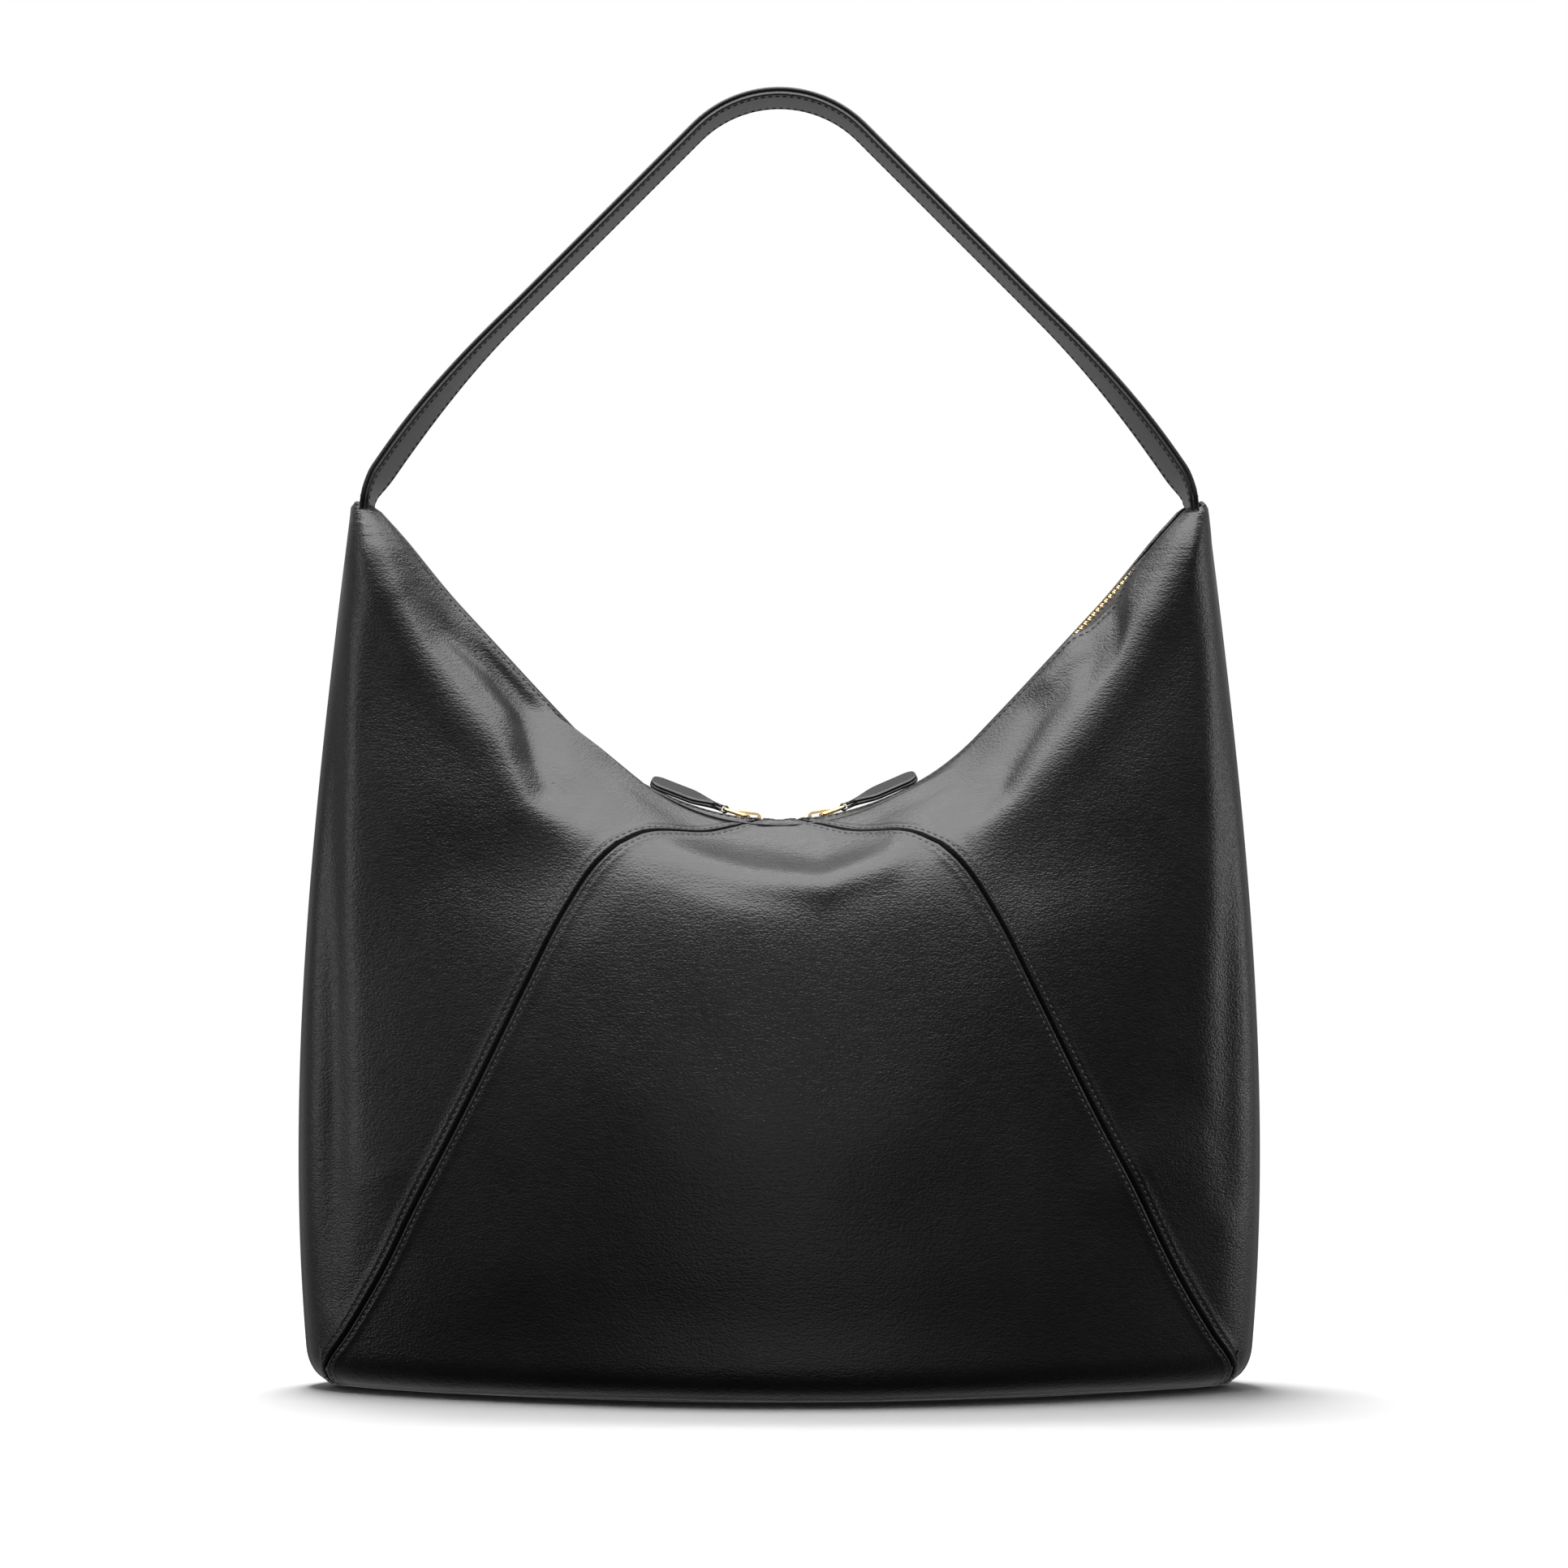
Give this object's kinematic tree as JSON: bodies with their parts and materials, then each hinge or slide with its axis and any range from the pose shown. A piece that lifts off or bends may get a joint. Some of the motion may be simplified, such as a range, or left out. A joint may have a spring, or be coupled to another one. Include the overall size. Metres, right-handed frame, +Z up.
{
  "type": "hobo bag",
  "caption": "Slouchy leather hobo bag with a V-shaped zipped mouth, diagonal panel seams, a single arched shoulder strap and leather zip pulls on gold rings.",
  "frame": {"origin": "centre of the footprint on the surface the bag stands on", "axes": "+X along the bag to the right as seen from the front, -Y to the front, +Z up"},
  "size_m": [0.4022, 0.1268, 0.5418],
  "materials": {
    "grained_leather": "fine pebbled grain",
    "strap_leather": "smooth fine grain",
    "lining": "woven twill",
    "zip_tape": "ribbed tape",
    "zip_metal": "polished",
    "gold_metal": "polished gold",
    "board": "matt"
  },
  "bodies": {
    "bag": {"front_centre_panel": "grained_leather", "back_centre_panel": "grained_leather", "front_left_wing": "grained_leather", "front_right_wing": "grained_leather", "back_left_wing": "grained_leather", "back_right_wing": "grained_leather", "base_panel": "grained_leather", "base_board": "board", "lining_front": "lining", "lining_back": "lining", "inner_pocket": "lining", "zip_facing_front": "grained_leather", "zip_facing_back": "grained_leather", "zip_tape_front": "zip_tape", "zip_tape_back": "zip_tape", "zip_chain_front": "zip_metal", "zip_chain_back": "zip_metal", "zip_stop_left": "zip_metal", "zip_stop_right": "zip_metal", "strap_root_left": "strap_leather", "strap_root_right": "strap_leather"},
    "strap": {"strap_outer": "strap_leather", "strap_core": "board", "strap_inner": "strap_leather"},
    "slider_left": {"slider_left": "gold_metal"},
    "ring_left": {"pull_ring_left": "gold_metal"},
    "tab_left": {"pull_tab_left": "strap_leather"},
    "slider_right": {"slider_right": "gold_metal"},
    "ring_right": {"pull_ring_right": "gold_metal"},
    "tab_right": {"pull_tab_right": "strap_leather"}
  },
  "joints": [
    {"name": "strap_swing", "type": "hinge", "parent": "bag", "child": "strap", "pos_m": [0, 0, 0.388], "axis": [1, 0, 0], "range_deg": [-150, 150]},
    {"name": "left_slider_travel", "type": "hinge", "parent": "bag", "child": "slider_left", "pos_m": [0, 0, 0.349], "axis": [0, 1, 0], "range_deg": [-4.5, 36]},
    {"name": "left_ring_swing", "type": "hinge", "parent": "slider_left", "child": "ring_left", "pos_m": [-0.01302, 0, 0.23821], "axis": [0, 1, 0], "range_deg": [0, 95]},
    {"name": "left_tab_swing", "type": "hinge", "parent": "ring_left", "child": "tab_left", "pos_m": [-0.02292, 0, 0.24137], "axis": [0, 1, 0], "range_deg": [0, 70]},
    {"name": "right_slider_travel", "type": "hinge", "parent": "bag", "child": "slider_right", "pos_m": [0, 0, 0.349], "axis": [0, -1, 0], "range_deg": [-4.5, 36]},
    {"name": "right_ring_swing", "type": "hinge", "parent": "slider_right", "child": "ring_right", "pos_m": [0.01745, 0, 0.23882], "axis": [0, -1, 0], "range_deg": [0, 95]},
    {"name": "right_tab_swing", "type": "hinge", "parent": "ring_right", "child": "tab_right", "pos_m": [0.02722, 0, 0.24238], "axis": [0, -1, 0], "range_deg": [0, 70]}
  ]
}
